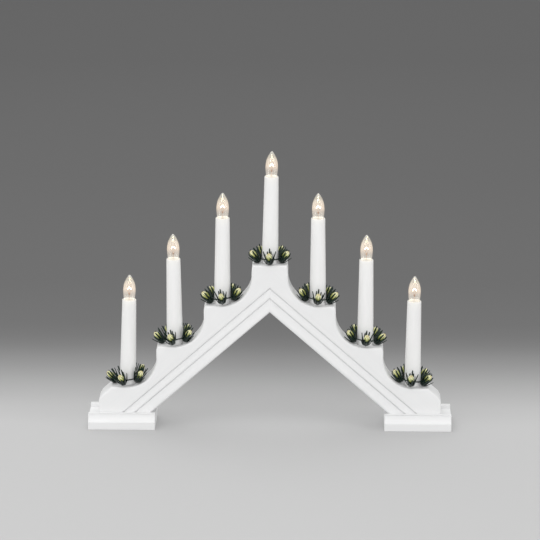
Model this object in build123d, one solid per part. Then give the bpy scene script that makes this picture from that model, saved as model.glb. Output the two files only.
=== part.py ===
from build123d import *
import os
from math import atan2, cos, degrees, radians, sin, sqrt, tan

# Electric candle arch in white painted wood.
# Two stepped legs meet at a mitre and stand on moulded feet. Seven candles with
# screw-in flame bulbs stand on the steps, each with a wreath of needles and buds.
# +X is to the right, -Y is the front and +Z is up. The origin is on the table,
# in the middle between the feet. Lengths are in millimetres.

os.makedirs("parts", exist_ok=True)

# Candles and steps
candle_pitch = 64.2
steps_per_side = 3
lowest_platform_height = 55.5
platform_rise = 56.9

# Stepped board
board_depth = 40.0
end_past_last_candle = 38.4
wood_above_apex = 64.8
riser_wall_height = 7.0
ledge_bevel_run = 2.3
ledge_bevel_drop = 4.5
top_bevel_run = 1.0
top_bevel_drop = 10.0
shoulder_run = 17.3
shoulder_drop = 12.5
shoulder_lip_run = 3.2
shoulder_lip_drop = 5.5
edge_round = 1.5

# The underside falls by this share of the steps' own slope
underside_slope_share = 0.9912

# Pair of V grooves along the front of each leg
groove_offsets = (14.2, 24.8)
groove_width = 2.8
groove_depth = 1.7

# Wiring channel in the back of each leg, with its cover and the cable outlet
channel_width = 9.0
channel_depth = 13.0
cover_width = 14.0
cover_thickness = 3.0
cover_clearance = 0.15
cover_below_cove = 1.5
cover_above_foot = 5.4
outlet_above_foot = 22.0
outlet_bore_radius = 2.7
outlet_body_radius = 4.2
outlet_flange_radius = 6.2
outlet_flange_thickness = 1.5
outlet_tail = 2.0
outlet_clearance = 0.1

# Feet
foot_past_leg = 14.0
foot_length = 90.2
foot_core_height = 16.2
foot_channel_clearance = 0.2
moulding_height = 21.0
moulding_band_height = 10.6
moulding_lip_thickness = 8.0
moulding_projection = 6.0
moulding_round = 0.7

# Candle sleeves, one lean in degrees for each candle from left to right
sleeve_length = 118.0
sleeve_base_radius = 11.1
sleeve_top_radius = 9.4
sleeve_base_wall = 1.6
sleeve_opening_radius = 7.8
sleeve_rim_round = 0.8
sleeve_sides = 24
candle_leans_deg = (1.5, -0.6, 0.4, 1.0, 0.1, 0.4, 0.7)
seat_clearance = 0.4

# Lamp holders
post_radius = 5.8
post_wall = 1.4
post_plug_length = 12.0
post_bore_clearance = 0.4
socket_mouth_depth = 13.5
socket_depth = 10.6
socket_floor_thickness = 2.0
holder_sides = 16

# Screw-in bulbs
cap_radius = 4.75
cap_running_clearance = 0.05
cap_shell_length = 9.4
cap_contact_length = 1.2
cap_contact_radius = 2.2
cap_sides = 16
glass_radius = 8.5
glass_wall = 0.6
glass_visible_height = 34.0
glass_sides = 16
stem_length = 17.0
stem_radius = 1.3
stem_sides = 8
bead_radius = 1.2
lead_radius = 0.25
lead_sides = 4
lead_length = 5.5
lead_spread = 2.6

# Shares of the glass radius and of the glass height, from the neck to the tip
flame_outline_shares = (
    (0.52, 0.0),
    (0.66, 0.1),
    (0.86, 0.27),
    (0.99, 0.49),
    (0.99, 0.63),
    (0.85, 0.75),
    (0.56, 0.876),
    (0.24, 0.955),
)

# Wreaths, one turn in degrees of the front tuft for each candle from left to right
wreath_turns_deg = (-19.0, -11.0, 0.0, -2.0, 0.0, 3.0, -8.0)
tufts_per_wreath = 5
tuft_circle_radius = 14.8
tuft_lean_deg = 34.0
ring_inner_radius = 13.4
ring_outer_radius = 17.0
ring_thickness = 1.8
ring_lift = 5.6
ring_sides = 16
cup_sides = 8
cup_bottom_radius = 2.4
cup_top_radius = 4.5
cup_height = 6.5
collar_radius = 4.4
collar_thickness = 1.0
needles_per_tuft = 10
needle_sides = 3
needle_circle_radius = 2.95
needle_root_radius = 0.75
needle_length = 13.5
needle_leans_deg = (24.0, 16.0)
bud_sides = 6
bud_length = 12.0
bud_radius = 3.3
bud_root_radius = 1.4
bud_lean_deg = 11.0
bud_root_offset = 0.6
wreath_clearance = 0.3

# Shares of the bud radius and of its length, between the root and the tip
bud_outline_shares = ((1.0, 0.3), (0.85, 0.6), (0.0, 1.0))

# Cuts run past the faces that they leave through by this much
overrun = 5.0

# Values that follow from the sizes above
half_depth = board_depth / 2
arch_half_length = steps_per_side * candle_pitch + end_past_last_candle
foot_half_span = arch_half_length + foot_past_leg
leg_base_height = foot_core_height
cove_radius = platform_rise - top_bevel_drop - riser_wall_height
riser_reach = candle_pitch - cove_radius
slope = atan2(underside_slope_share * platform_rise, candle_pitch)
underside_apex_height = lowest_platform_height + steps_per_side * platform_rise - wood_above_apex
lowest_underside_height = underside_apex_height - steps_per_side * candle_pitch * tan(slope)
thinnest_web = (lowest_platform_height + cove_radius - lowest_underside_height) * cos(slope) - cove_radius
channel_offset = thinnest_web - cover_below_cove - cover_width / 2
glass_neck_depth = socket_mouth_depth - (cap_contact_length + cap_shell_length - socket_depth)
glass_height = glass_neck_depth + glass_visible_height
candle_numbers = range(1, 2 * steps_per_side + 2)

# Cross-section plane of a leg: local x runs square to the underside, local y to the front
slope_down = Vector(cos(slope), 0, -sin(slope))
slope_out = Vector(sin(slope), 0, cos(slope))
apex = Vector(0, 0, underside_apex_height)


def platform_height(step):
    return lowest_platform_height + platform_rise * (steps_per_side - step)


def cove_height(distance):
    """Rise of the cove above its platform at a distance from the candle's axis."""
    return cove_radius - sqrt(max(cove_radius**2 - distance**2, 0))


def section_plane(run):
    return Plane(origin=apex + slope_down * run, x_dir=slope_out, z_dir=slope_down)


def polygon_points(radius, sides, height):
    turns = [radians(360 * corner / sides) for corner in range(sides)]
    return [(radius * cos(turn), radius * sin(turn), height) for turn in turns]


def flat_between(first, second, corner, after):
    """One flat side between two polygons, or a triangle where one of them is a point."""
    points = [first[corner]]
    if first[after] != first[corner]:
        points.append(first[after])
    if second[after] != second[corner]:
        points.append(second[after])
    return make_face(Polyline(*points, second[corner], close=True))


def faceted(sections, sides, hollow=False):
    """Solid with flat sides through (radius, height) polygons, which a hollow one joins end to end."""
    rings = [polygon_points(radius, sides, height) for radius, height in sections]
    flats = []
    pairs = list(zip(rings, rings[1:]))
    if hollow:
        pairs.append((rings[-1], rings[0]))
    else:
        ends = [ring for ring in (rings[0], rings[-1]) if ring[0] != ring[1]]
        flats += [make_face(Polyline(*ring, close=True)) for ring in ends]
    for first, second in pairs:
        both_points = first[0] == first[1] and second[0] == second[1]
        if not both_points:
            flats += [flat_between(first, second, corner, (corner + 1) % sides) for corner in range(sides)]
    return Solid(Shell(flats))


# Stepped legs


def leg_outline():
    """Right half of the stepped outline, drawn with x across and y up."""
    top = platform_height(0)
    lines = [Line((0, underside_apex_height), (0, top))]
    start = (0, top)
    for step in range(steps_per_side):
        middle = step * candle_pitch
        height = platform_height(step)
        lower = platform_height(step + 1)
        run = ledge_bevel_run if step else top_bevel_run
        drop = ledge_bevel_drop if step else top_bevel_drop
        ledge = (middle + riser_reach - run, height)
        wall_top = (middle + riser_reach, height - drop)
        wall_foot = (middle + riser_reach, lower + cove_radius)
        lines.append(Line(start, ledge))
        lines.append(Line(ledge, wall_top))
        lines.append(Line(wall_top, wall_foot))
        lines.append(CenterArc((middle + candle_pitch, lower + cove_radius), cove_radius, 180, 90))
        start = (middle + candle_pitch, lower)
    height = platform_height(steps_per_side)
    shoulder = (arch_half_length - shoulder_run, height)
    shoulder_foot = (arch_half_length - shoulder_lip_run, height - shoulder_drop)
    end_top = (arch_half_length, height - shoulder_drop - shoulder_lip_drop)
    end_foot = (arch_half_length, leg_base_height)
    inner_foot = ((underside_apex_height - leg_base_height) / tan(slope), leg_base_height)
    corners = (start, shoulder, shoulder_foot, end_top, end_foot, inner_foot, (0, underside_apex_height))
    for first, second in zip(corners, corners[1:]):
        lines.append(Line(first, second))
    return make_face(lines)


def is_outline_edge(edge):
    middle = edge.center()
    on_face = abs(middle.Y) > half_depth - edge_round
    return on_face and middle.X > edge_round and middle.Z > leg_base_height + edge_round


def groove_cutter():
    sections = []
    for offset in groove_offsets:
        half_width = groove_width / 2
        sections.append(
            make_face(
                Polyline(
                    (offset - half_width, half_depth),
                    (offset - half_width, half_depth + overrun),
                    (offset + half_width, half_depth + overrun),
                    (offset + half_width, half_depth),
                    (offset, half_depth - groove_depth),
                    close=True,
                )
            )
        )
    reach = 2 * arch_half_length
    return [extrude(section_plane(-reach / 4) * section, amount=reach) for section in sections]


def channel_height(distance):
    """Height of the wiring channel's centre line at a distance from the middle."""
    return underside_apex_height + channel_offset / cos(slope) - distance * tan(slope)


def back_strip(width, depth, foot_gap, proud=0.0):
    """A bar along the slope, let into the back face from the mitre to a gap above the foot."""
    reach = 2 * arch_half_length
    section = Pos(channel_offset, (depth - proud) / 2 - half_depth) * Rectangle(width, depth + proud)
    strip = extrude(section_plane(-reach / 4) * section, amount=reach)
    return split(strip, Plane.XY.offset(leg_base_height + foot_gap), keep=Keep.TOP)


def standing_bar(radius, height):
    return Cylinder(radius, height, align=(Align.CENTER, Align.CENTER, Align.MIN))


def arch_leg():
    leg = extrude(Plane.XZ * leg_outline(), amount=half_depth, both=True)
    leg = chamfer(leg.edges().filter_by(is_outline_edge), edge_round)
    leg -= groove_cutter()
    cover_ledge = (cover_width - channel_width) / 2
    channel_above_foot = cover_above_foot + cover_ledge
    leg -= back_strip(cover_width, cover_thickness, cover_above_foot, overrun)
    leg -= back_strip(channel_width, cover_thickness + channel_depth, channel_above_foot, overrun)
    seat_radius = sleeve_base_radius + seat_clearance
    seat_rise = cove_height(seat_radius) + overrun
    bore_radius = post_radius + post_bore_clearance
    for step in range(steps_per_side + 1):
        distance = step * candle_pitch
        height = platform_height(step)
        bore_bottom = channel_height(distance)
        leg -= Pos(distance, 0, bore_bottom) * standing_bar(bore_radius, height - bore_bottom + overrun)
        if step > 0:
            leg -= Pos(distance, 0, height) * standing_bar(seat_radius, seat_rise)
    return leg


def outlet_place():
    height = leg_base_height + outlet_above_foot
    return Vector((channel_height(0) - height) / tan(slope), 0, height)


def wire_cover():
    width = cover_width - 2 * cover_clearance
    strip = back_strip(width, cover_thickness, cover_above_foot + cover_clearance)
    return split(strip, Plane.YZ, keep=Keep.TOP)


def outlet_hole():
    place = outlet_place()
    hole = Cylinder(outlet_body_radius + outlet_clearance, 4 * cover_thickness, rotation=(90, 0, 0))
    return Pos(place.X, half_depth, place.Z) * hole


def cord_outlet():
    """Flanged bush that leads the cable out through the back cover."""
    place = outlet_place()
    tail = cover_thickness + outlet_tail
    outline = Polyline(
        (outlet_bore_radius, -tail),
        (outlet_body_radius, -tail),
        (outlet_body_radius, 0),
        (outlet_flange_radius, 0),
        (outlet_flange_radius, outlet_flange_thickness),
        (outlet_bore_radius, outlet_flange_thickness),
        close=True,
    )
    bush = revolve(Plane.XZ * make_face(outline), axis=Axis.Z)
    return Pos(place.X, half_depth, place.Z) * Rot(-90, 0, 0) * bush


# Feet


def foot_middle():
    return foot_half_span - foot_length / 2


def channel_half_width():
    return half_depth + foot_channel_clearance


def foot_core():
    block = Box(foot_length, 2 * channel_half_width(), foot_core_height)
    return Pos(foot_middle(), 0, foot_core_height / 2) * block


def foot_moulding():
    """Back moulding: a straight band, a cove above it and a raised lip."""
    inner = channel_half_width()
    lip = inner + moulding_lip_thickness
    outer = lip + moulding_projection
    lines = [
        Line((inner, 0), (outer, 0)),
        Line((outer, 0), (outer, moulding_band_height)),
        TangentArc(
            (lip, moulding_height - moulding_round),
            (outer, moulding_band_height),
            tangent=(0, -1),
        ),
        Line((lip, moulding_height - moulding_round), (lip - moulding_round, moulding_height)),
        Line((lip - moulding_round, moulding_height), (inner, moulding_height)),
        Line((inner, moulding_height), (inner, 0)),
    ]
    section = make_face(lines)
    plane = Plane(origin=(foot_half_span - foot_length, 0, 0), x_dir=(0, 1, 0), z_dir=(1, 0, 0))
    return extrude(plane * section, amount=foot_length)


# Candles, each modelled upright on its axis with zero at its platform


def candle_sleeve():
    """Tapered tube with its rim rounded on both sides."""
    rim = sleeve_length - sleeve_rim_round
    return faceted(
        (
            (sleeve_base_radius - sleeve_base_wall, 0),
            (sleeve_base_radius, 0),
            (sleeve_top_radius, rim),
            (sleeve_top_radius - sleeve_rim_round, sleeve_length),
            (sleeve_opening_radius + sleeve_rim_round / 2, sleeve_length),
            (sleeve_opening_radius, rim),
        ),
        sleeve_sides,
        hollow=True,
    )


def lamp_holder():
    mouth = sleeve_length - socket_mouth_depth
    floor = mouth - socket_depth
    bore = cap_radius + cap_running_clearance
    tube_bore = post_radius - post_wall
    return faceted(
        (
            (0, floor),
            (bore, floor),
            (bore, mouth),
            (post_radius, mouth),
            (post_radius, -post_plug_length),
            (tube_bore, -post_plug_length),
            (tube_bore, floor - socket_floor_thickness),
            (0, floor - socket_floor_thickness),
        ),
        holder_sides,
    )


def bulb_cap():
    """Screw cap with the stem, bead and lead wires that stand inside the glass."""
    base = sleeve_length - socket_mouth_depth - socket_depth
    shell_base = base + cap_contact_length
    shell_top = shell_base + cap_shell_length
    bead_height = shell_top + stem_length
    shell_sections = ((cap_contact_radius, base), (cap_radius, shell_base), (cap_radius, shell_top))
    shell = faceted(shell_sections, cap_sides)
    stem = faceted(
        (
            (stem_radius, shell_top),
            (stem_radius / 2, bead_height - bead_radius),
            (bead_radius, bead_height),
            (stem_radius / 2, bead_height + bead_radius),
        ),
        stem_sides,
    )
    lead = faceted(((lead_radius, 0), (lead_radius, lead_length)), lead_sides)
    lead_lean = degrees(atan2(lead_spread, lead_length))
    leads = [Pos(0, 0, bead_height) * Rot(0, side * lead_lean, 0) * lead for side in (-1, 1)]
    return shell.fuse(stem, *leads)


def bulb_glass():
    base = sleeve_length - glass_neck_depth
    tip = base + glass_height
    outer = []
    for radius_share, height_share in flame_outline_shares:
        outer.append((radius_share * glass_radius, base + height_share * glass_height))
    inner = [(radius - glass_wall, height) for radius, height in outer[::2]]
    sections = (*outer, (0, tip), (0, tip - 2 * glass_wall), *reversed(inner))
    return faceted(sections, glass_sides, hollow=True)


# Wreaths, each modelled flat on its platform with its front tuft towards -Y


def tuft_places():
    """One frame at the bottom of each cup, with z along the leaning tuft and x outwards."""
    turn = 360 / tufts_per_wreath
    cup_lift = cup_bottom_radius * sin(radians(tuft_lean_deg))
    outwards = Pos(tuft_circle_radius, 0, cup_lift) * Rot(0, tuft_lean_deg, 0)
    return [Rot(0, 0, number * turn - 90) * outwards for number in range(tufts_per_wreath)]


def wreath_ring():
    """Moulded ring that is held above the platform by the cup of each tuft."""
    ring = extrude(RegularPolygon(ring_outer_radius, ring_sides), amount=ring_thickness)
    ring -= extrude(RegularPolygon(ring_inner_radius, ring_sides), amount=ring_thickness)
    cup = faceted(((cup_bottom_radius, 0), (cup_top_radius, cup_height)), cup_sides)
    return Pos(0, 0, ring_lift) * ring + [place * cup for place in tuft_places()]


def tuft():
    """Needles that spread from a thin collar, which sits on the cup."""
    collar_top = cup_height + collar_thickness
    collar = faceted(((collar_radius, cup_height), (collar_radius, collar_top)), cup_sides)
    strand = faceted(((needle_root_radius, 0), (0, needle_length)), needle_sides)
    strands = []
    for number in range(needles_per_tuft):
        lean = needle_leans_deg[number % len(needle_leans_deg)]
        root = Pos(needle_circle_radius, 0, cup_height + collar_thickness / 2) * Rot(0, lean, 0)
        strands.append(Rot(0, 0, number * 360 / needles_per_tuft) * root * strand)
    return collar.fuse(*strands)


def bud():
    """Bud that leans out of its tuft, with the low edge of its root on the collar."""
    sections = [(bud_root_radius, 0)]
    for radius_share, length_share in bud_outline_shares:
        sections.append((radius_share * bud_radius, length_share * bud_length))
    root_height = cup_height + collar_thickness + bud_root_radius * sin(radians(bud_lean_deg))
    return Pos(-bud_root_offset, 0, root_height) * Rot(0, bud_lean_deg, 0) * faceted(sections, bud_sides)


def repeated_on_wreath(shape):
    return Compound([place * shape for place in tuft_places()])


def wreath_place(number):
    """Frame of a wreath, tilted about the middle of its ring until the uphill cup clears the cove."""
    step = number - steps_per_side - 1
    contact = tuft_circle_radius + cup_bottom_radius
    tilt = atan2(cove_height(contact), 2 * contact) if step else 0
    side = 1 if step > 0 else -1
    rise = contact * sin(tilt)
    sink = ring_lift * (1 - cos(tilt))
    uphill_reach = contact * cos(tilt) + ring_lift * sin(tilt)
    uphill_lift = cove_height(uphill_reach) - rise - sink if step else 0
    lift = max(uphill_lift, rise - sink) + wreath_clearance
    ring_middle = Pos(step * candle_pitch, 0, platform_height(abs(step)) + lift + ring_lift)
    turned = Rot(0, 0, wreath_turns_deg[number - 1])
    return ring_middle * Rot(0, degrees(side * tilt), 0) * Pos(0, 0, -ring_lift) * turned


def candle_place(number):
    """Frame of a candle, lifted so that the low edge of its leaning base just touches."""
    step = number - steps_per_side - 1
    lean = candle_leans_deg[number - 1]
    lift = sleeve_base_radius * sin(radians(abs(lean)))
    return Pos(step * candle_pitch, 0, platform_height(abs(step)) + lift) * Rot(0, lean, 0)


def mirrored(shape):
    return mirror(shape, about=Plane.YZ)


def front(shape):
    return mirror(shape, about=Plane.XZ)


# Every piece under its own name


def all_pieces():
    leg = arch_leg()
    core = foot_core()
    moulding = foot_moulding()
    cover = wire_cover()
    pieces = {
        "arch_leg_left": mirrored(leg),
        "arch_leg_right": leg,
        "foot_core_left": mirrored(core),
        "foot_core_right": core,
        "foot_moulding_front_left": mirrored(front(moulding)),
        "foot_moulding_front_right": front(moulding),
        "foot_moulding_back_left": mirrored(moulding),
        "foot_moulding_back_right": moulding,
        "wire_cover_left": mirrored(cover - outlet_hole()),
        "wire_cover_right": cover,
        "cord_outlet": mirrored(cord_outlet()),
    }
    candle_shapes = {
        "candle_sleeve": candle_sleeve(),
        "lamp_holder": lamp_holder(),
        "bulb_cap": bulb_cap(),
        "bulb_glass": bulb_glass(),
    }
    wreath_shapes = {
        "wreath_ring": wreath_ring(),
        "wreath_needles": repeated_on_wreath(tuft()),
        "wreath_buds": repeated_on_wreath(bud()),
    }
    for number in candle_numbers:
        for name, shape in candle_shapes.items():
            pieces[f"{name}_{number}"] = candle_place(number) * shape
        for name, shape in wreath_shapes.items():
            pieces[f"{name}_{number}"] = wreath_place(number) * shape
    return pieces


for piece_name, piece in all_pieces().items():
    export_step(piece, f"parts/{piece_name}.step")
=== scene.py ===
# %% [markdown]
# # A stepped candle arch, dressed
# The arch is a pair of stepped, white painted boards that meet at a mitre. Seven electric
# candles stand on the steps, each with a wreath of plastic needles and buds at its foot.
# The frame gives the plain solids in metres, each where it belongs, so every new piece is
# made to the same sizes and rides on one of the frame's bodies.

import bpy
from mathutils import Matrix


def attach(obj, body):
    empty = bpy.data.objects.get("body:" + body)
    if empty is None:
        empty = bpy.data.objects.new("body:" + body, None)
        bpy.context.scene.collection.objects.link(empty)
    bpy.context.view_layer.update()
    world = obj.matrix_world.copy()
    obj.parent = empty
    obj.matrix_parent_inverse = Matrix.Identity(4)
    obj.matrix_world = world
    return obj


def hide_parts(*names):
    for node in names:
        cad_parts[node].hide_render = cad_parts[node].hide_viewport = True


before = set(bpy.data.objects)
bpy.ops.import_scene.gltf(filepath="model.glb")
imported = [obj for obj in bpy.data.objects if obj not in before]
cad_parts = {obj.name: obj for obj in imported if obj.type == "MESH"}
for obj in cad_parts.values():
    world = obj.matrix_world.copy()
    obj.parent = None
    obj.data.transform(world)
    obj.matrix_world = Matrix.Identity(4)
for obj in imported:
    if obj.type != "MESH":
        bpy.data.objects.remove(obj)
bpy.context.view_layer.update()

# %% [markdown]
# Lengths are written in millimetres and turned into metres by one name, mm. The candles are
# numbered 1 to 7 from left to right, and each stands on a platform that is one step lower for
# every step away from the middle. They lean a little, as they do on the real arch.

# %% Places of the candles
from math import atan2, cos, pi, radians, sin, sqrt

import bmesh
import bpy
from mathutils import Matrix, Vector

mm = 0.001
candle_pitch = 64.2 * mm
lowest_platform = 55.5 * mm
platform_rise = 56.9 * mm
sleeve_length = 118 * mm
sleeve_base_radius = 11.1 * mm
candle_leans = [radians(lean) for lean in (1.5, -0.6, 0.4, 1.0, 0.1, 0.4, 0.7)]
numbers = range(1, 8)
middle_number = 4
steps_per_side = 3


def platform(number):
    """Middle of a candle's platform."""
    step = number - middle_number
    height = lowest_platform + platform_rise * (steps_per_side - abs(step))
    return Vector((step * candle_pitch, 0, height))


def candle_place(number):
    """Frame of a candle, with zero at its foot and z along its leaning axis."""
    lean = candle_leans[number - 1]
    lift = Vector((0, 0, sleeve_base_radius * sin(abs(lean))))
    return Matrix.Translation(platform(number) + lift) @ Matrix.Rotation(lean, 4, "Y")


print("platforms", [round(platform(number).z / mm, 1) for number in numbers])

# %% [markdown]
# The camera looks down on the arch through a long lens, from far away and a touch to the
# right. A long lens keeps the seven candles nearly parallel, as a product photograph does. The
# Standard view shows each colour as it is written, which white paint on white paper needs.

# %% Camera
camera_distance = 4.345
camera_height_aim = 0.14
camera_pitch = radians(15.59)
camera_tilt = radians(14.63)
camera_yaw = radians(1.15)
sensor_width = 36
focal_length = 214.9
farthest_seen = 60

camera = bpy.data.objects.new("camera", bpy.data.cameras.new("camera"))
bpy.context.scene.collection.objects.link(camera)
bpy.context.scene.camera = camera
camera.data.sensor_width = sensor_width
camera.data.lens = focal_length
camera.data.clip_end = farthest_seen
level = camera_distance * cos(camera_pitch)
camera.location = (
    level * sin(camera_yaw),
    -level * cos(camera_yaw),
    camera_height_aim + camera_distance * sin(camera_pitch),
)
camera.rotation_euler = (pi / 2 - camera_tilt, 0, camera_yaw)
bpy.context.scene.view_settings.view_transform = "Standard"
print("camera at", [round(place, 3) for place in camera.location])

# %% [markdown]
# Shaders are small sums, so one class lets Python's own arithmetic build their Math nodes.
# A Value is one socket of a material. Everything else comes from Finish.node, which takes a
# node's type, its settings and what goes into its sockets.

# %% A small language for shaders


class Value:
    """A socket that adds, subtracts and multiplies as a number does."""

    def __init__(self, finish, socket):
        self.finish = finish
        self.socket = socket

    def maths(self, operation, *terms):
        return self.finish.node("Math", {"operation": operation}, dict(enumerate(terms)))

    def __add__(self, other):
        return self.maths("ADD", self, other)

    def __sub__(self, other):
        return self.maths("SUBTRACT", self, other)

    def __mul__(self, other):
        return self.maths("MULTIPLY", self, other)

    def __rmul__(self, other):
        return self.maths("MULTIPLY", other, self)

    def __pow__(self, other):
        return self.maths("POWER", self, other)

    def __abs__(self):
        return self.maths("ABSOLUTE", self)


class Finish:
    """One material under construction."""

    def __init__(self, name, tree=None):
        if tree is None:
            self.material = bpy.data.materials.new(name)
            self.material.use_nodes = True
            tree = self.material.node_tree
        self.tree = tree
        tree.nodes.clear()

    def node(self, kind, settings=None, sockets=None, output=0):
        """Adds a node, sets it, fills its sockets and gives back one output."""
        made = self.tree.nodes.new("ShaderNode" + kind)
        for key, value in (settings or {}).items():
            if key == "stops":
                self.fill_ramp(made.color_ramp, value)
            else:
                setattr(made, key, value)
        for key, value in (sockets or {}).items():
            if isinstance(value, Value):
                self.tree.links.new(value.socket, made.inputs[key])
            else:
                made.inputs[key].default_value = value
        return Value(self, made.outputs[output]) if made.outputs else None

    def fill_ramp(self, ramp, stops):
        while len(ramp.elements) < len(stops):
            ramp.elements.new(0.5)
        for element, (position, colour) in zip(ramp.elements, stops):
            element.position = position
            element.color = (*colour, 1)

    def place(self):
        return self.node("TexCoord", output=3)

    def attribute(self, name):
        return self.node("Attribute", {"attribute_name": name}, output=2)

    def axis(self, place, number):
        return self.node("SeparateXYZ", None, {0: place}, output=number)

    def noise(self, place, scale, detail, roughness=0.5):
        sockets = {"Vector": place, "Scale": scale, "Detail": detail, "Roughness": roughness}
        return self.node("TexNoise", None, sockets)

    def stretched(self, place, scale):
        return self.node("Mapping", None, {"Vector": place, "Scale": scale})

    def ramp(self, value, *stops):
        return self.node("ValToRGB", {"stops": stops}, {"Fac": value})

    def range(self, value, low, high, to_low, to_high):
        sockets = {"Value": value, "From Min": low, "From Max": high}
        sockets.update({"To Min": to_low, "To Max": to_high})
        return self.node("MapRange", None, sockets)

    def mixed(self, factor, first, second):
        sockets = {0: factor, 6: first, 7: second}
        return self.node("Mix", {"data_type": "RGBA"}, sockets, output=2)

    def bump(self, height, distance, strength=1.0):
        sockets = {"Height": height, "Distance": distance, "Strength": strength}
        return self.node("Bump", None, sockets)

    def surface(self, sockets):
        """Ends the material in one Principled shader."""
        shader = self.node("BsdfPrincipled", None, sockets)
        self.node("OutputMaterial", None, {"Surface": shader})
        return self.material


print("shader words ready")

# %% [markdown]
# The arch stands on a pale floor that falls off into grey behind it, as a sweep of paper does
# when the light reaches only its front. One flat sheet carries that fall-off as a colour along
# y, so nothing stands behind the arch and it can be looked at from the back too.

# %% Floor
floor_size = 24
paper_start, paper_end = -1.0, 4.0


def grey(level):
    return (level, level, level)


bpy.ops.object.select_all(action="DESELECT")
bpy.ops.mesh.primitive_plane_add(size=floor_size, location=(0, 0, 0))
floor = bpy.context.active_object
floor.name = "floor"

paper = Finish("sweep_paper")
paper_run = paper.range(paper.axis(paper.place(), 1), paper_start, paper_end, 0, 1)
paper_colour = paper.ramp(
    paper_run,
    (0.0, grey(0.562)),
    (0.2, grey(0.538)),
    (0.216, grey(0.502)),
    (0.235, grey(0.409)),
    (0.255, grey(0.298)),
    (0.276, grey(0.203)),
    (0.287, grey(0.175)),
    (0.3, grey(0.16)),
    (0.35, grey(0.147)),
    (0.5, grey(0.142)),
    (0.72, grey(0.146)),
    (1.0, grey(0.181)),
)
paper_tooth = paper.noise(paper.place(), 900, 2)
floor.data.materials.append(
    paper.surface(
        {
            "Base Color": paper_colour,
            "Roughness": 0.9,
            "Specular IOR Level": 0.1,
            "Normal": paper.bump(paper_tooth, 0.0001),
        }
    )
)
print("floor", floor.dimensions[0], "m")

# %% [markdown]
# White paint needs light from every side, or it turns grey at its edges. So the world is plain
# white, and broad lamps stand in front, overhead, on both sides and behind. For what is seen
# directly, mirrored or looked at through glass, the world has the grey of the far paper.

# %% Light
daylight = (1.0, 1.0, 1.0, 1)
backdrop = (0.135, 0.135, 0.135, 1)
backdrop_in_gloss = 0.6
world_strength = 0.62
lamp_aim = Vector((0, 0, 0.18))

world = bpy.data.worlds.new("studio")
bpy.context.scene.world = world
world.use_nodes = True
air = Finish("studio", world.node_tree)
seen_directly = air.node("LightPath", output=0)
seen_in_gloss = air.node("LightPath", output=3)
seen_through = air.node("LightPath", output=6)
backdrop_share = seen_directly.maths("MAXIMUM", seen_directly, seen_in_gloss * backdrop_in_gloss)
backdrop_share = seen_directly.maths("MAXIMUM", backdrop_share, seen_through)
air_colour = air.mixed(backdrop_share, daylight, backdrop)
air_light = air.node("Background", None, {"Color": air_colour, "Strength": world_strength})
air.node("OutputWorld", None, {"Surface": air_light})


def soft_lamp(name, place, size, power):
    """A broad rectangular lamp that faces the middle of the arch."""
    light = bpy.data.lights.new(name, "AREA")
    light.shape = "RECTANGLE"
    light.size, light.size_y = size
    light.energy = power
    lamp = bpy.data.objects.new(name, light)
    bpy.context.scene.collection.objects.link(lamp)
    lamp.location = place
    lamp.rotation_euler = (lamp_aim - lamp.location).to_track_quat("-Z", "Y").to_euler()


soft_lamp("lamp_front", (-0.5, -3.2, 1.3), (3.2, 2.4), 26.5)
soft_lamp("lamp_over", (-0.4, -0.9, 3.0), (3.6, 3.2), 27)
soft_lamp("lamp_left", (-2.6, -1.2, 0.7), (1.2, 2.0), 12)
soft_lamp("lamp_right", (2.6, -1.2, 0.7), (1.2, 2.0), 17)
soft_lamp("lamp_behind", (-0.4, 1.8, 2.6), (3.2, 2.4), 24)

# %% [markdown]
# The wood is sprayed with a white satin paint. Close up, the long grain of the board still
# shows as shallow ripples along its length, and the paint has a fine orange peel. The legs
# slope both ways from the middle, so the grain is drawn along a coordinate that is mirrored
# there, and one finish does for both.

# %% White painted wood


def painted_wood(name, slope):
    """White paint over grain that runs down a slope on both sides of the middle."""
    wood = Finish(name)
    across, deep, high = (wood.axis(wood.place(), number) for number in range(3))
    mirrored = wood.node("CombineXYZ", None, {0: abs(across), 1: deep, 2: high})
    turn = {"Vector": mirrored, "Angle": -slope}
    along_slope = wood.node("VectorRotate", {"rotation_type": "Y_AXIS"}, turn)
    grain = wood.noise(wood.stretched(along_slope, (14, 260, 260)), 1.0, 4, 0.6)
    peel = wood.noise(wood.place(), 1600, 2)
    cloud = wood.noise(wood.place(), 22, 3)
    shade = 0.6 * grain + 0.4 * cloud
    colour = wood.ramp(shade, (0.3, (0.83, 0.833, 0.835)), (0.7, (0.86, 0.861, 0.86)))
    relief = 0.75 * grain + 0.25 * peel
    return wood.surface(
        {
            "Base Color": colour,
            "Roughness": wood.range(cloud, 0.3, 0.7, 0.4, 0.5),
            "Specular IOR Level": 0.4,
            "Normal": wood.bump(relief, 0.00012, 0.6),
        }
    )


leg_slope = radians(41.3)
leg_paint = painted_wood("white_painted_wood_leg", leg_slope)
foot_paint = painted_wood("white_painted_wood_foot", 0.0)
print("paints", leg_paint.name, foot_paint.name)

# %% [markdown]
# Every piece is selected, copied, joined and finished in the same few ways. A copy always gets
# its own mesh, and a finished piece keeps its place in its mesh, so its origin stays at zero.

# %% Helpers for pieces


def start_fresh():
    bpy.ops.object.select_all(action="DESELECT")


def make_active(piece):
    start_fresh()
    piece.select_set(True)
    bpy.context.view_layer.objects.active = piece


def edit_all():
    """Goes into edit mode with everything selected."""
    bpy.ops.object.mode_set(mode="EDIT")
    bpy.ops.mesh.select_all(action="SELECT")


def end_edit():
    bpy.ops.object.mode_set(mode="OBJECT")


def settle(piece):
    """Puts the piece's place into its mesh."""
    make_active(piece)
    bpy.ops.object.transform_apply(location=True, rotation=True, scale=True)


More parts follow.
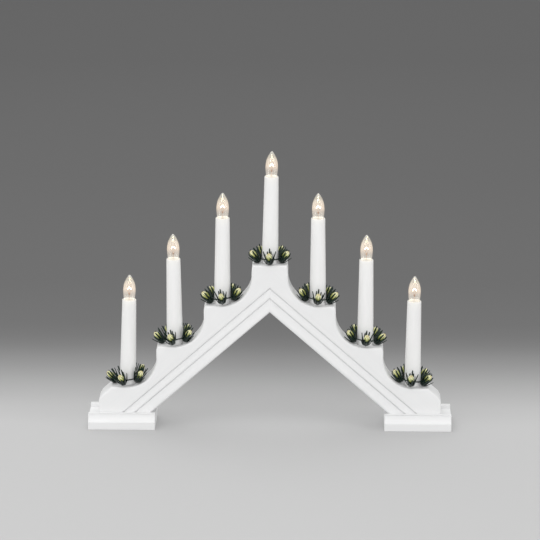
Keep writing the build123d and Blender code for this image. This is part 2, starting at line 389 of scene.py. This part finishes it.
def copied(piece, name, place):
    """A copy with its own mesh, put at a place."""
    copy = piece.copy()
    copy.data = piece.data.copy()
    copy.name = name
    bpy.context.scene.collection.objects.link(copy)
    copy.matrix_world = place
    return copy


def joined(pieces, name):
    """Several pieces made one, with its place in its mesh."""
    start_fresh()
    for piece in pieces:
        piece.select_set(True)
    bpy.context.view_layer.objects.active = pieces[0]
    bpy.ops.object.join()
    whole = bpy.context.active_object
    whole.name = name
    settle(whole)
    return whole


def coated(piece, material):
    """Gives a piece one finish in place of any other."""
    piece.data.materials.clear()
    piece.data.materials.append(material)


def finished(piece, body, nodes, material):
    """Gives a piece its finish and body, and hides the solids that it stands for."""
    coated(piece, material)
    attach(piece, body)
    if nodes:
        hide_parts(*nodes)


def smooth(piece, angle):
    make_active(piece)
    bpy.ops.object.shade_smooth_by_angle(angle=radians(angle))


print("helpers ready")

# %% [markdown]
# A CAD mesh has hard edges, and paint never does. So each wooden piece is a copy of its solid
# with the loose triangles merged, its flat faces joined, and its long edges rounded by a small
# bevel. The mitre between the legs stays sharp, because the paint runs over it. The cores of
# the feet and the wiring covers keep their solids.

# %% Legs and mouldings with rounded edges
sharp_angle = 20
half_depth = 20 * mm
edge_chamfer = 1.5 * mm
foot_top = 18 * mm
leg_bevel = 0.45 * mm
moulding_bevel = 0.5 * mm


def softened(node, name, width, is_edge):
    """Copy of a solid with the chosen sharp edges rounded."""
    piece = bpy.data.objects.new(name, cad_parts[node].data.copy())
    bpy.context.scene.collection.objects.link(piece)
    make_active(piece)
    edit_all()
    bpy.ops.mesh.remove_doubles(threshold=0.001 * mm)
    bpy.ops.mesh.dissolve_limited(angle_limit=radians(0.4))
    bpy.ops.mesh.select_all(action="DESELECT")
    bpy.ops.mesh.select_mode(type="EDGE")
    mesh = bmesh.from_edit_mesh(piece.data)
    for edge in mesh.edges:
        sharp = len(edge.link_faces) == 2 and edge.calc_face_angle() > radians(sharp_angle)
        edge.select = sharp and is_edge(*(corner.co for corner in edge.verts))
    mesh.select_flush_mode()
    bmesh.update_edit_mesh(piece.data)
    bpy.ops.mesh.bevel(offset=width, segments=2, affect="EDGES", clamp_overlap=False)
    bpy.ops.mesh.select_mode(type="VERT")
    end_edit()
    smooth(piece, sharp_angle)
    return piece


def on_leg_face(first, second):
    """True for an edge of the leg's front or back face, above the foot and off the mitre."""
    near_face = min(abs(first.y), abs(second.y)) > half_depth - edge_chamfer - 0.1 * mm
    off_mitre = max(abs(first.x), abs(second.x)) > 0.01 * mm
    return near_face and off_mitre and min(first.z, second.z) > foot_top


def anywhere(first, second):
    return True


for side in ("left", "right"):
    node = f"arch_leg_{side}"
    leg = softened(node, f"leg_{side}", leg_bevel, on_leg_face)
    finished(leg, "arch", [node], leg_paint)
    for face in ("front", "back"):
        node = f"foot_moulding_{face}_{side}"
        moulding = softened(node, f"moulding_{face}_{side}", moulding_bevel, anywhere)
        finished(moulding, "arch", [node], foot_paint)
    coated(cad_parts[f"foot_core_{side}"], foot_paint)
    coated(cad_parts[f"wire_cover_{side}"], leg_paint)
print("leg faces", len(leg.data.polygons), "moulding faces", len(moulding.data.polygons))

# %% [markdown]
# ## Turned shapes
# Sleeves, bulbs, caps, cups and buds are all turned. A circle is added at the first height,
# extruded ring by ring to the next heights, and scaled about the axis to the next radius. A
# radius of zero closes a pole, because its ring shrinks to a point that is then merged.

# %% Helper for turned shapes
pole_radius = 0.0001 * mm


def turned(name, outline, sides, closed=False):
    """Piece turned about z from (radius, height) pairs. A closed one joins end to end."""
    start_fresh()
    first_radius, first_height = outline[0]
    bpy.ops.mesh.primitive_circle_add(
        vertices=sides,
        radius=max(first_radius, pole_radius),
        location=(0, 0, first_height),
        fill_type="NOTHING",
    )
    piece = bpy.context.active_object
    piece.name = name
    edit_all()
    steps = list(zip(outline, outline[1:]))
    if closed:
        steps.append((outline[-1], outline[0]))
    for (radius, height), (next_radius, next_height) in steps:
        share = max(next_radius, pole_radius) / max(radius, pole_radius)
        rise = next_height - height
        bpy.ops.mesh.extrude_region_move(TRANSFORM_OT_translate={"value": (0, 0, rise)})
        bpy.ops.transform.resize(value=(share, share, 1), center_override=(0, 0, 0))
    bpy.ops.mesh.select_all(action="SELECT")
    bpy.ops.mesh.remove_doubles(threshold=0.002 * mm)
    bpy.ops.mesh.normals_make_consistent(inside=False)
    end_edit()
    settle(piece)
    return piece


def rounded(piece):
    """Applies one level of Subdivision Surface."""
    make_active(piece)
    rounder = piece.modifiers.new("rounder", "SUBSURF")
    rounder.levels = rounder.render_levels = 1
    bpy.ops.object.modifier_apply(modifier=rounder.name)


def fluted(piece, factor):
    """Moves each point out from z, or in, by a factor of its angle and its height in mm."""
    for corner in piece.data.vertices:
        share = factor(atan2(corner.co.y, corner.co.x), corner.co.z / mm)
        corner.co.x *= share
        corner.co.y *= share


def in_mm(pairs):
    return [(radius * mm, height * mm) for radius, height in pairs]


def mark_heights(piece, low, high):
    """Keeps each point's share of the height, which copies carry along with them."""
    heights = piece.data.attributes.new("height_share", "FLOAT", "POINT")
    for corner, place in zip(heights.data, piece.data.vertices):
        corner.value = (place.co.z - low) / (high - low)


print("turning tools ready")

# %% [markdown]
# ## Candle sleeves
# Each candle is a tapered tube of white plastic, open at the top, where its lip is rolled over
# as on a dipped candle. It stands in a shallow seat. The plastic is faintly cloudy. Near the top
# its colour is painted lighter and warmer, as painted light from the lamp that shines on it.

# %% Candle plastic
wax = Finish("white_candle_plastic")
wax_height = wax.attribute("height_share")
wax_cloud = wax.noise(wax.stretched(wax.place(), (90, 90, 16)), 1.0, 2)
wax_speck = wax.noise(wax.place(), 2400, 2)
wax_base = wax.ramp(wax_cloud, (0.3, (0.875, 0.873, 0.866)), (0.7, (0.905, 0.903, 0.895)))
# Painted light: near its top the sleeve's colour is painted lighter and warmer, where the lamp
# shines on it.
painted_lamp_light = wax.range(wax_height, 0.86, 1.0, 0, 1) ** 2
wax_colour = wax.mixed(painted_lamp_light, wax_base, (0.95, 0.935, 0.9, 1))
candle_plastic = wax.surface(
    {
        "Base Color": wax_colour,
        "Roughness": wax.range(wax_cloud, 0.3, 0.7, 0.36, 0.46),
        "Normal": wax.bump(0.8 * wax_cloud + 0.2 * wax_speck, 0.0001, 0.5),
    }
)

# %% [markdown]
# The outline goes once round the wall of the tube, up the outside and down the inside.

# %% Seven sleeves
sleeve_outline = in_mm(
    [
        (9.5, 0),
        (10.7, 0),
        (11.08, 0.4),
        (11.05, 4),
        (10.67, 30),
        (10.24, 60),
        (9.8, 90),
        (9.43, 115.5),
        (9.36, 117),
        (9.05, 117.8),
        (8.6, 118),
        (8.15, 117.75),
        (7.85, 117.1),
        (7.8, 115.5),
        (8.0, 100),
        (8.9, 40),
    ]
)
sleeve = turned("candle_sleeve_master", sleeve_outline, 64, closed=True)
smooth(sleeve, 60)
mark_heights(sleeve, 0, sleeve_length)
for number in numbers:
    piece = copied(sleeve, f"sleeve_{number}", candle_place(number))
    settle(piece)
    finished(piece, "arch", [f"candle_sleeve_{number}"], candle_plastic)
bpy.data.objects.remove(sleeve)
print("sleeve faces", len(piece.data.polygons))

# %% [markdown]
# ## Lamp holders
# The holder is a plain moulded post that the sleeve hides, so its solid stays and only gets a
# finish. What shows is the ring round the lamp when the lamp is unscrewed.

# %% Holder plastic
post = Finish("holder_plastic")
post_grain = post.noise(post.place(), 700, 3)
holder_plastic = post.surface(
    {
        "Base Color": post.ramp(post_grain, (0.35, (0.72, 0.71, 0.68)), (0.65, (0.78, 0.77, 0.74))),
        "Roughness": post.range(post_grain, 0.3, 0.7, 0.42, 0.55),
        "Normal": post.bump(post_grain, 0.00005, 0.5),
    }
)
for number in numbers:
    coated(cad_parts[f"lamp_holder_{number}"], holder_plastic)
print("holders", len(numbers))

# %% [markdown]
# ## Screw lamps
# A small screw lamp has a nickel cap with a rolled thread, a dark glass insulator with a solder
# point below it, and a flame-shaped bulb of clear glass. Inside stand two wires in a glass
# bead, and between their tips a coiled filament.

# %% Cap metal
metal = Finish("nickel_plated_cap")
metal_grain = metal.noise(metal.stretched(metal.place(), (300, 300, 2500)), 1.0, 3)
cap_metal = metal.surface(
    {
        "Base Color": metal.ramp(metal_grain, (0.3, (0.60, 0.57, 0.52)), (0.7, (0.72, 0.70, 0.66))),
        "Metallic": 1.0,
        "Roughness": metal.range(metal_grain, 0.3, 0.7, 0.2, 0.34),
        "Normal": metal.bump(metal_grain, 0.00002, 0.4),
    }
)
dark_glass = Finish("cap_insulator")
dark_mottle = dark_glass.noise(dark_glass.place(), 900, 2)
dark_stops = ((0.3, (0.012, 0.012, 0.014)), (0.7, (0.03, 0.03, 0.034)))
cap_insulator = dark_glass.surface(
    {
        "Base Color": dark_glass.ramp(dark_mottle, *dark_stops),
        "Roughness": dark_glass.range(dark_mottle, 0.3, 0.7, 0.12, 0.25),
    }
)
print("cap finishes", cap_metal.name, cap_insulator.name)

# %% [markdown]
# The thread is a real helix, made by the Screw modifier from one wave of its outline, then cut
# flat at both ends. Its heights are in millimetres over the candle's foot.

# %% Threaded shell
cap_base = 93.9
shell_low, shell_high = cap_base + 1.2, cap_base + 10.6
thread_radius = 4.5
thread_swing = 0.24
thread_pitch = 1.8
thread_turns = 7
thread_steps = 40
wave_points = 8


def cut_flat(piece, height, keep_above):
    """Cuts a piece at a height and closes the cut."""
    make_active(piece)
    edit_all()
    bpy.ops.mesh.bisect(
        plane_co=(0, 0, height),
        plane_no=(0, 0, 1),
        use_fill=True,
        clear_inner=keep_above,
        clear_outer=not keep_above,
    )
    end_edit()


start_fresh()
bpy.ops.mesh.primitive_plane_add(size=1 * mm)
thread = bpy.context.active_object
edit_all()
bpy.ops.mesh.merge(type="CENTER")
wave_low = shell_low - 2 * thread_pitch
bpy.ops.transform.translate(value=(thread_radius * mm, 0, wave_low * mm))
for point in range(wave_points):
    turn = 2 * pi / wave_points
    outward = thread_swing * (sin((point + 1) * turn) - sin(point * turn))
    step = (outward * mm, 0, thread_pitch / wave_points * mm)
    bpy.ops.mesh.extrude_region_move(TRANSFORM_OT_translate={"value": step})
end_edit()
winder = thread.modifiers.new("winder", "SCREW")
winder.steps = winder.render_steps = thread_steps
winder.iterations = thread_turns
winder.screw_offset = thread_pitch * mm
winder.use_merge_vertices = True
winder.merge_threshold = 0.002 * mm
make_active(thread)
bpy.ops.object.modifier_apply(modifier=winder.name)
edit_all()
bpy.ops.mesh.remove_doubles(threshold=0.005 * mm)
end_edit()
cut_flat(thread, (shell_low + 0.3) * mm, keep_above=True)
cut_flat(thread, (shell_high - 0.9) * mm, keep_above=False)
make_active(thread)
edit_all()
bpy.ops.mesh.normals_make_consistent(inside=False)
end_edit()
smooth(thread, 50)
print("thread faces", len(thread.data.polygons))
print("thread size", [round(size / mm, 2) for size in thread.dimensions], "mm")

# %% [markdown]
# A smooth collar closes the shell at the glass. Below it come the insulator and, in the middle,
# the drop of solder.

# %% Cap collar, insulator and solder point


def turned_at(name, base, outline, sides):
    """Piece turned from pairs in millimetres, with the heights counted from a base."""
    return turned(name, in_mm([(radius, base + rise) for radius, rise in outline]), sides)


collar_outline = (
    (0, -1),
    (thread_radius, -1),
    (4.72, -0.7),
    (4.72, -0.15),
    (thread_radius, 0),
    (0, 0),
)
collar = turned_at("cap_collar", shell_high, collar_outline, 40)
smooth(collar, 50)
shell_master = joined([thread, collar], "cap_shell_master")
insulator_outline = ((0, -0.7), (2.1, -0.7), (3.4, -0.3), (4.2, 0.35), (0, 0.35))
insulator_master = turned_at("cap_insulator_master", shell_low, insulator_outline, 32)
smooth(insulator_master, 40)
solder_outline = ((0, 0), (1.3, 0.1), (1.9, 0.35), (2.1, 0.6), (0, 0.6))
solder_master = turned_at("solder_point_master", cap_base, solder_outline, 24)
smooth(solder_master, 50)
print("cap pieces", shell_master.name, insulator_master.name, solder_master.name)

# %% [markdown]
# The glass is clear, and a lit bulb also glows. The glow is painted on the glass as a colour
# that it gives off, strongest in a warm band at the height of the filament. A paler painted band
# at the sleeve's rim lights the sleeve's inner wall seen through the glass, and the pale tip is a
# painted highlight.

# %% Clear glass
glass = Finish("clear_glass")
glow_height = glass.attribute("height_share")
# Painted light: warm glow bands, a band at the sleeve's rim, and a painted highlight at the tip.
glow = glass.ramp(
    glow_height,
    (0.0, (0.05, 0.05, 0.045)),
    (0.24, (0.22, 0.21, 0.19)),
    (0.3, (0.30, 0.285, 0.255)),
    (0.36, (0.18, 0.165, 0.145)),
    (0.48, (0.21, 0.18, 0.15)),
    (0.56, (0.33, 0.268, 0.212)),
    (0.66, (0.32, 0.268, 0.213)),
    (0.76, (0.29, 0.248, 0.2)),
    (0.84, (0.21, 0.19, 0.152)),
    (0.92, (0.2, 0.19, 0.165)),
    (1.0, (0.3, 0.3, 0.28)),
)
clear_glass = glass.surface(
    {
        "Base Color": (1, 0.985, 0.96, 1),
        "Roughness": 0.02,
        "IOR": 1.45,
        "Transmission Weight": 1.0,
        "Emission Color": glow,
        "Emission Strength": 0.5,
    }
)
print("glass", clear_glass.name)

# %% [markdown]
# The bulb's outline is drawn with a few rings and rounded by a Subdivision Surface, then given
# its wall by Solidify, so light bends through two skins of glass as it does in the real bulb.

# %% Flame bulb
neck_height = 104.5
tip_height = 152
glass_wall = 0.55 * mm
glass_outline = in_mm(
    [
        (4.3, neck_height),
        (5.3, 108.6),
        (6.6, 113.6),
        (7.75, 119.5),
        (8.5, 126.6),
        (8.55, 132.8),
        (7.7, 139.2),
        (5.5, 145),
        (2.9, 149.3),
        (1.1, 151.5),
        (0, 151.95),
    ]
)
bulb = turned("bulb_master", glass_outline, 32)
rounded(bulb)
wall = bulb.modifiers.new("wall", "SOLIDIFY")
wall.thickness = glass_wall
wall.offset = -1
bpy.ops.object.modifier_apply(modifier=wall.name)
smooth(bulb, 60)
mark_heights(bulb, neck_height * mm, tip_height * mm)
bulb_top = max(place.co.z for place in bulb.data.vertices)
print("bulb faces", len(bulb.data.polygons), "top", round(bulb_top / mm, 2), "mm")

# %% [markdown]
# Three finishes serve inside the glass: coppery wire, a dark amber bead with a faint painted glow
# from the filament's light, and the filament, which is the brightest thing on the arch.

# %% Finishes inside the glass
copper = Finish("lead_wire_copper")
copper_tone = copper.noise(copper.place(), 1500, 2)
copper_stops = ((0.3, (0.32, 0.17, 0.09)), (0.7, (0.46, 0.27, 0.15)))
wire_metal = copper.surface(
    {
        "Base Color": copper.ramp(copper_tone, *copper_stops),
        "Metallic": 0.6,
        "Roughness": copper.range(copper_tone, 0.3, 0.7, 0.35, 0.5),
    }
)
amber = Finish("bead_glass")
amber_tone = amber.noise(amber.place(), 1800, 2)
bead_glass = amber.surface(
    {
        "Base Color": amber.ramp(amber_tone, (0.3, (0.16, 0.07, 0.035)), (0.7, (0.28, 0.13, 0.06))),
        "Roughness": amber.range(amber_tone, 0.3, 0.7, 0.08, 0.2),
        # Painted glow: the bead's emission stands for the filament's light on it.
        "Emission Color": (0.30, 0.12, 0.05, 1),
        "Emission Strength": 0.2,
    }
)
spiral = Finish("hot_filament")
spiral_tone = spiral.noise(spiral.place(), 2500, 1)
spiral_glow = spiral.ramp(spiral_tone, (0.3, (1.0, 0.80, 0.55)), (0.7, (1.0, 0.90, 0.72)))
hot_filament = spiral.surface(
    {
        "Base Color": (0.9, 0.8, 0.6, 1),
        "Roughness": 0.5,
        "Emission Color": spiral_glow,
        "Emission Strength": 10.0,
    }
)
print("inner finishes", wire_metal.name, bead_glass.name, hot_filament.name)

# %% [markdown]
# The two lead wires rise from the neck, pass through the bead that holds them apart, and spread
# to the ends of the filament. The filament is a coil that bows upwards between them. Each is a
# line through points, made round and turned into a mesh.

# %% Bead, wires and filament
bead_height = 125.4
filament_height = 131.6
filament_length = 5.2
filament_bow = 2.7
coil_radius = 0.5
coil_turns = 13
points_per_turn = 8


def wire(name, points, radius, sides=6):
    """A wire through points in millimetres, made a mesh."""
    curve = bpy.data.curves.new(name, "CURVE")
    curve.dimensions = "3D"
    curve.bevel_depth = radius * mm
    curve.bevel_resolution = max(0, sides // 2 - 2)
    curve.use_fill_caps = True
    line = curve.splines.new("POLY")
    line.points.add(len(points) - 1)
    for point, place in zip(line.points, points):
        point.co = (*(length * mm for length in place), 1)
    piece = bpy.data.objects.new(name, curve)
    bpy.context.scene.collection.objects.link(piece)
    make_active(piece)
    bpy.ops.object.convert(target="MESH")
    smooth(piece, 50)
    return piece


leads = []
for side in (-1, 1):
    route = [
        (side * 1.9, 0, 104.6),
        (side * 1.5, 0, 110),
        (side * 0.55, 0, 118),
        (side * 0.5, 0, bead_height),
        (side * 0.9, 0, bead_height + 1.6),
        (side * 2.5, 0, filament_height - 0.3),
        (side * 2.6, 0, filament_height + 0.3),
    ]
    leads.append(wire(f"lead_{side}", route, 0.2))
leads_master = joined(leads, "leads_master")
bead_outline = ((0, -1.5), (0.7, -1.35), (1.15, -0.7), (1.3, 0), (1.15, 0.7), (0.7, 1.35), (0, 1.5))
bead_master = turned_at("bead_master", bead_height, bead_outline, 20)
smooth(bead_master, 60)
coil_points = []
for point in range(coil_turns * points_per_turn + 1):
    along = point / (coil_turns * points_per_turn)
    angle = point * 2 * pi / points_per_turn
    height = filament_height + filament_bow * sin(pi * along) + coil_radius * sin(angle)
    coil_points.append((filament_length * (along - 0.5), coil_radius * cos(angle), height))
filament_master = wire("filament_master", coil_points, 0.15, 4)
print("filament faces", len(filament_master.data.polygons))
print("lead faces", len(leads_master.data.polygons))

# %% [markdown]
# The lamp's pieces are copied into every candle and ride on that candle's lamp, so they come
# out together when it is unscrewed.

# %% Seven lamps
lamp_masters = (
    (shell_master, "cap_shell", "nickel_plated_cap", cap_metal, "bulb_cap"),
    (insulator_master, "cap_insulator", "nickel_plated_cap", cap_insulator, None),
    (solder_master, "solder_point", "nickel_plated_cap", cap_metal, None),
    (leads_master, "lead_wires", "nickel_plated_cap", wire_metal, None),
    (bead_master, "glass_bead", "clear_glass", bead_glass, None),
    (filament_master, "filament", "clear_glass", hot_filament, None),
    (bulb, "flame_bulb", "clear_glass", clear_glass, "bulb_glass"),
)
for number in numbers:
    for master, name, slot, material, node in lamp_masters:
        piece = copied(master, f"{name}_{number}", candle_place(number))
        settle(piece)
        nodes = [f"{node}_{number}"] if node else []
        finished(piece, f"bulb_{number}", nodes, material)
for master, *_ in lamp_masters:
    bpy.data.objects.remove(master)
print("lamp pieces", len(numbers) * len(lamp_masters))

# %% [markdown]
# ## Wreaths
# Each candle wears a ring of moulded plastic with five cups. A fan of stiff, blunt needles
# stands in each cup, round a plump yellow-green bud. The needles are a glossy, very dark green,
# a touch lighter at their tips. The bud runs from green to straw, with painted shade in its
# grooves.

# %% Wreath finishes
fir = Finish("needle_green")
fir_height = fir.attribute("height_share")
fir_tone = fir.noise(fir.place(), 260, 2)
fir_deep = fir.ramp(fir_tone, (0.3, (0.002, 0.008, 0.006)), (0.7, (0.004, 0.020, 0.012)))
fir_tip = (0.006, 0.032, 0.020, 1)
needle_green = fir.surface(
    {
        "Base Color": fir.mixed(fir.range(fir_height, 0.3, 1.0, 0, 0.6), fir_deep, fir_tip),
        "Roughness": fir.range(fir_tone, 0.3, 0.7, 0.12, 0.24),
        "Specular IOR Level": 0.36,
    }
)
moss = Finish("wreath_green")
moss_tone = moss.noise(moss.place(), 420, 3)
moss_colour = moss.ramp(
    moss_tone,
    (0.3, (0.002, 0.007, 0.006)),
    (0.55, (0.004, 0.016, 0.011)),
    (0.75, (0.018, 0.028, 0.012)),
)
wreath_green = moss.surface(
    {
        "Base Color": moss_colour,
        "Roughness": moss.range(moss_tone, 0.3, 0.7, 0.16, 0.3),
        "Specular IOR Level": 0.4,
        "Normal": moss.bump(moss_tone, 0.0002, 0.5),
    }
)
pod = Finish("bud_yellow_green")
pod_height = pod.attribute("height_share")
pod_tone = pod.noise(pod.place(), 210, 3)
pod_skin = pod.ramp(
    pod_height + 0.35 * (pod_tone - 0.5),
    (0.0, (0.16, 0.20, 0.03)),
    (0.3, (0.48, 0.52, 0.12)),
    (0.6, (0.82, 0.83, 0.33)),
    (0.85, (0.95, 0.93, 0.60)),
    (1.0, (0.80, 0.66, 0.34)),
)
# Painted shade: the grooves between the petals are darkened toward deep green.
painted_groove_shade = pod.range(pod.attribute("petal_share"), 0.05, 0.55, 0.8, 0)
pod_colour = pod.mixed(painted_groove_shade, pod_skin, (0.13, 0.18, 0.03, 1))
bud_green = pod.surface(
    {
        "Base Color": pod_colour,
        "Roughness": pod.range(pod_tone, 0.3, 0.7, 0.3, 0.45),
        "Normal": pod.bump(pod.noise(pod.place(), 900, 2), 0.0001, 0.5),
    }
)
print("wreath finishes", needle_green.name, wreath_green.name, bud_green.name)

# %% [markdown]
# One needle is modelled. A flat six-sided stub grows in steps, and each step leans out a little
# and changes the width, so the needle curves away from the bud and ends blunt.

# %% One needle
needle_sides = 6
needle_length = 19.5
needle_steps = (
    (2.2, 1.4, 1.1),
    (2.6, 0.9, 1.05),
    (3.2, 0.45, 1.0),
    (4.6, 0.75, 0.95),
    (4.4, 0.6, 0.85),
    (2.2, 0.1, 0.75),
    (0.3, 0, 0.5),
)

start_fresh()
bpy.ops.mesh.primitive_circle_add(vertices=needle_sides, radius=0.7 * mm, fill_type="NGON")
needle = bpy.context.active_object
needle.name = "needle_master"
edit_all()
bpy.ops.transform.resize(value=(0.8, 1.4, 1), center_override=(0, 0, 0))
for rise, out, share in needle_steps:
    bpy.ops.mesh.extrude_region_move(TRANSFORM_OT_translate={"value": (out * mm, 0, rise * mm)})
    needle_mesh = bmesh.from_edit_mesh(needle.data)
    end_corners = (corner.co for corner in needle_mesh.verts if corner.select)
    end_middle = sum(end_corners, Vector()) / needle_sides
    bpy.ops.transform.resize(value=(share, share, 1), center_override=end_middle)
bpy.ops.mesh.select_all(action="SELECT")
bpy.ops.mesh.normals_make_consistent(inside=False)
end_edit()
smooth(needle, 75)
mark_heights(needle, 0, needle_length * mm)
print("needle faces", len(needle.data.polygons))

# %% [markdown]
# The bud is turned, then fluted by a wave of six petals that twists slowly on its way up. The
# same wave is kept on the mesh, so that the finish can paint shade into the grooves.

# %% One bud
bud_bottom, bud_top = -1.2, 12
bud_outline = [
    (0, bud_bottom),
    (1.2, -1.15),
    (2.5, 0.4),
    (3.4, 2.2),
    (3.9, 4.4),
    (3.95, 6.6),
    (3.4, 8.8),
    (2.4, 10.5),
    (1.1, 11.6),
    (0, 11.9),
]


def petal_wave(angle, height):
    return cos(6 * (angle + height * 0.05))


bud = turned("bud_master", in_mm(bud_outline), 12)
fluted(bud, lambda angle, height: 1 + 0.1 * petal_wave(angle, height))
rounded(bud)
smooth(bud, 70)
mark_heights(bud, bud_bottom * mm, bud_top * mm)
petals = bud.data.attributes.new("petal_share", "FLOAT", "POINT")
for corner, place in zip(petals.data, bud.data.vertices):
    angle = atan2(place.co.y, place.co.x)
    corner.value = 0.5 + 0.5 * petal_wave(angle, place.co.z / mm)
print("bud faces", len(bud.data.polygons))

# %% [markdown]
# The cup has twelve soft ribs below its rim, and the rim itself stays round.

# %% One cup
cup_rim = 6.95
cup_outline = [
    (0, -0.1),
    (1.9, 0),
    (2.8, 0.5),
    (3.6, 1.7),
    (4.2, 3.4),
    (4.5, 5.4),
    (4.6, 6.9),
    (4.1, 7.1),
    (3.6, 5.6),
    (0, 4.8),
]


def cup_rib(angle, height):
    return 1 + 0.05 * cos(12 * angle) if height < cup_rim else 1


cup = turned("cup_master", in_mm(cup_outline), 24)
fluted(cup, cup_rib)
smooth(cup, 35)
print("cup faces", len(cup.data.polygons))

# %% [markdown]
# Twelve needles with small seeded differences, a bud and a cup make a tuft, and five tufts
# stand on the wreath's circle. Every second needle of a tuft leans inwards, which makes it look
# full, and the outer needles are shorter, so the bud shows from the front.

# %% Tufts on their circle
import random

random.seed(7)
tuft_count = 5
tuft_angle = 360 / tuft_count
tuft_circle_radius = 14.8 * mm
tuft_lift = 1.34 * mm
tuft_lean = radians(34)
needle_count = 12
needle_angle = 360 / needle_count
needle_leans = (8, -2)
needle_root = Matrix.Translation((2.5 * mm, 0, 0.2 * mm))
bud_root = Matrix.Translation((-0.6 * mm, 0, 7.7 * mm))
bud_lean = 11


def tuft_place(index):
    """Frame of a tuft on its wreath, with z along the leaning tuft."""
    turn = Matrix.Rotation(radians(tuft_angle * index - 90), 4, "Z")
    root = Matrix.Translation((tuft_circle_radius, 0, tuft_lift))
    return turn @ root @ Matrix.Rotation(tuft_lean, 4, "Y")


def needle_place(index):
    """Frame of a needle in its tuft. Those on the outer side are shorter."""
    turn = Matrix.Rotation(radians(needle_angle * index + random.uniform(-5, 5)), 4, "Z")
    lean = Matrix.Rotation(radians(needle_leans[index % 2] + random.uniform(-3, 3)), 4, "Y")
    outward = max(0, cos(radians(needle_angle * index)))
    length = (1 - 0.2 * outward) * random.uniform(0.92, 1.02)
    return turn @ needle_root @ lean @ Matrix.Diagonal((1, 1, length, 1))


def bud_place():
    """Frame of a bud in its tuft."""
    turn = Matrix.Rotation(radians(random.uniform(0, 90)), 4, "Z")
    lean = Matrix.Rotation(radians(bud_lean + random.uniform(-3, 3)), 4, "Y")
    size = Matrix.Scale(random.uniform(0.98, 1.08), 4)
    return bud_root @ lean @ turn @ size


needles, buds, cups = [], [], []
for tuft in range(tuft_count):
    place = tuft_place(tuft)
    for index in range(needle_count):
        needles.append(copied(needle, f"needle_{tuft}_{index}", place @ needle_place(index)))
    buds.append(copied(bud, f"bud_{tuft}", place @ bud_place()))
    cups.append(copied(cup, f"cup_{tuft}", place))
needles_master = joined(needles, "needles_master")
buds_master = joined(buds, "buds_master")
for master in (needle, bud, cup):
    bpy.data.objects.remove(master)
print("needle faces", len(needles_master.data.polygons))
print("bud faces", len(buds_master.data.polygons))

# %% [markdown]
# A thin ring runs through the cups. Two waves of different lengths move it in and out, so it
# looks like a wound stem and not like a wire.

# %% Ring
ring_height = 6.5 * mm


def ring_knob(angle, height):
    return 1 + 0.02 * sin(20 * angle) + 0.012 * sin(33 * angle + 1)


start_fresh()
bpy.ops.mesh.primitive_torus_add(
    major_radius=15.0 * mm,
    minor_radius=0.85 * mm,
    major_segments=80,
    minor_segments=10,
    location=(0, 0, ring_height),
)
ring = bpy.context.active_object
ring.name = "ring_master"
fluted(ring, ring_knob)
settle(ring)
smooth(ring, 60)
ring_master = joined([ring, *cups], "wreath_ring_master")
print("ring faces", len(ring_master.data.polygons))

# %% [markdown]
# The middle wreath lies flat on its platform. The others rest tilted, with their uphill side on
# the cove, whose radius gives the tilt and the lift. Every wreath is turned its own way, so no
# two look alike from the front: by a few degrees, and by a number of whole tufts.

# %% Seven wreaths
wreath_turns = (-19, -11, 0, -2, 0, 3, -8)
wreath_shifts = (0, 1, 2, 3, 4, 1, 3)
cove_radius = 39.9 * mm
contact = 17.2 * mm
pivot_height = 5.6 * mm
air_gap = 0.3 * mm


def cove_height(distance):
    return cove_radius - sqrt(cove_radius**2 - distance**2)


def wreath_place(number):
    """Frame of a wreath, which rests tilted against the cove on its uphill side."""
    step = number - middle_number
    tilt = atan2(cove_height(contact), 2 * contact) if step else 0
    uphill_reach = contact * cos(tilt) + pivot_height * sin(tilt)
    sink = pivot_height * (1 - cos(tilt))
    uphill_lift = cove_height(uphill_reach) - contact * sin(tilt) - sink if step else 0
    lift = max(uphill_lift, contact * sin(tilt) - sink) + air_gap
    side = 1 if step > 0 else -1
    spin = radians(wreath_turns[number - 1] + tuft_angle * wreath_shifts[number - 1])
    pivot = Matrix.Translation((0, 0, pivot_height))
    place = Matrix.Translation(platform(number) + Vector((0, 0, lift)))
    tilted = pivot @ Matrix.Rotation(side * tilt, 4, "Y") @ pivot.inverted()
    return place @ tilted @ Matrix.Rotation(spin, 4, "Z")


wreath_masters = (
    (ring_master, "wreath_ring", "wreath_green", wreath_green),
    (needles_master, "wreath_needles", "needle_green", needle_green),
    (buds_master, "wreath_buds", "bud_yellow_green", bud_green),
)
for number in numbers:
    for master, name, slot, material in wreath_masters:
        piece = copied(master, f"{name}_full_{number}", wreath_place(number))
        settle(piece)
        finished(piece, f"wreath_{number}", [f"{name}_{number}"], material)
for master, *_ in wreath_masters:
    bpy.data.objects.remove(master)
print("wreath pieces", len(numbers) * len(wreath_masters))

# %% [markdown]
# ## Cable outlet
# The bush in the back of the left leg is moulded plastic. Its solid has the right shape and
# stays, with a finish of its own.

# %% Outlet plastic
bush = Finish("outlet_plastic")
bush_grain = bush.noise(bush.place(), 1100, 3)
bush_colour = bush.ramp(bush_grain, (0.35, (0.80, 0.80, 0.78)), (0.65, (0.86, 0.86, 0.845)))
outlet_plastic = bush.surface(
    {
        "Base Color": bush_colour,
        "Roughness": bush.range(bush_grain, 0.3, 0.7, 0.35, 0.5),
        "Normal": bush.bump(bush_grain, 0.00004, 0.5),
    }
)
coated(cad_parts["cord_outlet"], outlet_plastic)
print("outlet", outlet_plastic.name)
